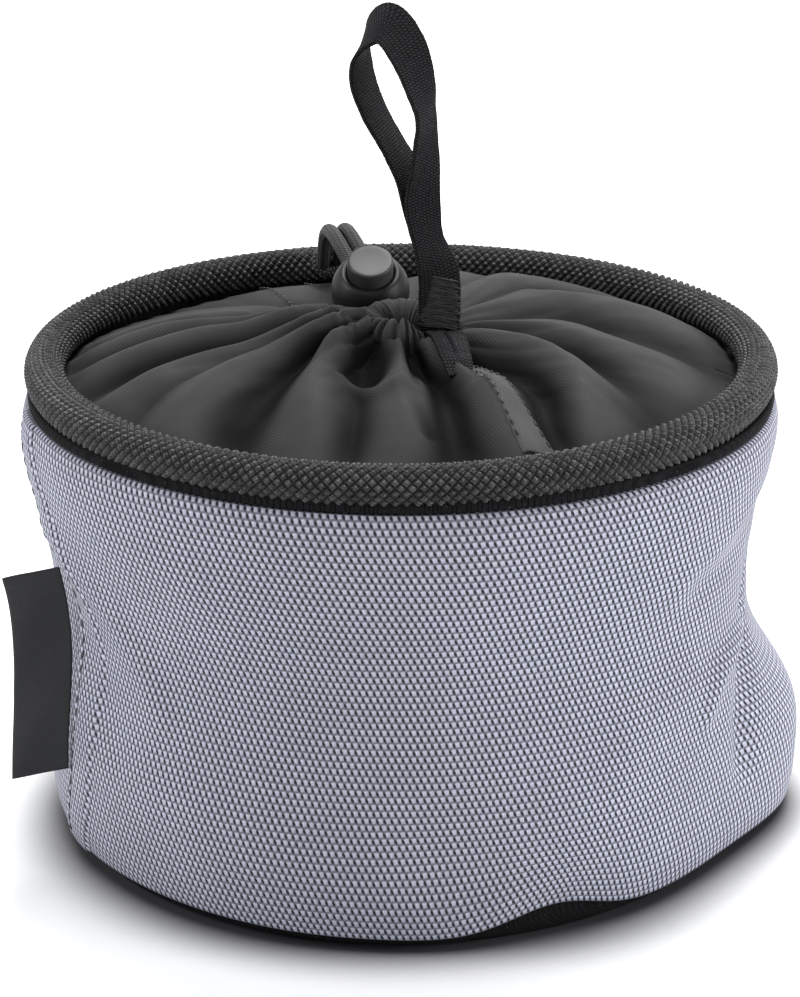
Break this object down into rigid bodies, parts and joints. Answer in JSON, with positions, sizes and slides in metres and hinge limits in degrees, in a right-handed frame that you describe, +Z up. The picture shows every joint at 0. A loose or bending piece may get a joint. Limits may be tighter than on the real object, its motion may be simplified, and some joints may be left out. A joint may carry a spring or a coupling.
{
  "type": "peg bag",
  "caption": "Round drawstring peg bag that stands by itself, with a roped rim, a gathered cover, a sprung ball cord lock and a webbing hanging loop.",
  "frame": {"origin": "centre of the flat underside of the base, on the floor", "axes": "+Z up, -Y towards the front that the picture shows, +X to its right"},
  "size_m": [0.1876, 0.178, 0.195],
  "materials": {
    "grey_weave": "pale blue-grey basket weave over black, matt",
    "black_weave": "fine black plain weave, matt",
    "black_braid": "coarse black braid of ribbed strands",
    "cover_nylon": "thin black nylon, satin",
    "elastic_cord": "round braided elastic, fine cross ribs",
    "black_webbing": "narrow black webbing with cross ribs",
    "tack_thread": "dense black zigzag stitching",
    "dark_ribbon": "dark satin ribbon, folded double",
    "black_plastic": "black moulded plastic, satin",
    "spring_wire": "bright drawn wire"
  },
  "bodies": {
    "bag": {"outer_wall": "grey_weave", "base_panel": "black_weave", "base_seam_tape": "black_weave", "rim_rope": "black_braid", "rim_hoop": "black_plastic", "rim_binding": "black_weave", "gathered_cover": "cover_nylon", "cover_casing": "cover_nylon", "draw_cord": "elastic_cord"},
    "cord_lock": {"cord_lock_body": "black_plastic", "cord_lock_spring": "spring_wire", "cord_tail_left": "elastic_cord", "cord_tail_right": "elastic_cord", "cord_knot": "elastic_cord"},
    "lock_button": {"cord_lock_button": "black_plastic"},
    "loop": {"hanging_loop": "black_webbing", "loop_bar_tack": "tack_thread"},
    "label": {"side_label": "dark_ribbon"}
  },
  "joints": [
    {"name": "cord_lock_slide", "type": "slide", "parent": "bag", "child": "cord_lock", "axis": [-0.304, 0.8364, 0.456], "range_m": [0, 0.01]},
    {"name": "button_press", "type": "slide", "parent": "cord_lock", "child": "lock_button", "axis": [0, 0.4787, -0.878], "range_m": [0, 0.0024], "stiffness_N_per_m": 400, "deforming": ["cord_lock_spring"]},
    {"name": "hanging_loop_tilt", "type": "hinge", "parent": "bag", "child": "loop", "pos_m": [0.00867, -0.01234, 0.1271], "axis": [1, 0, 0], "range_deg": [-50, 80], "stiffness_Nm_per_rad": 0.004},
    {"name": "label_flap", "type": "hinge", "parent": "bag", "child": "label", "pos_m": [-0.078, -0.0384, 0.0506], "axis": [0, 0, 1], "range_deg": [-40, 40], "stiffness_Nm_per_rad": 0.002}
  ]
}
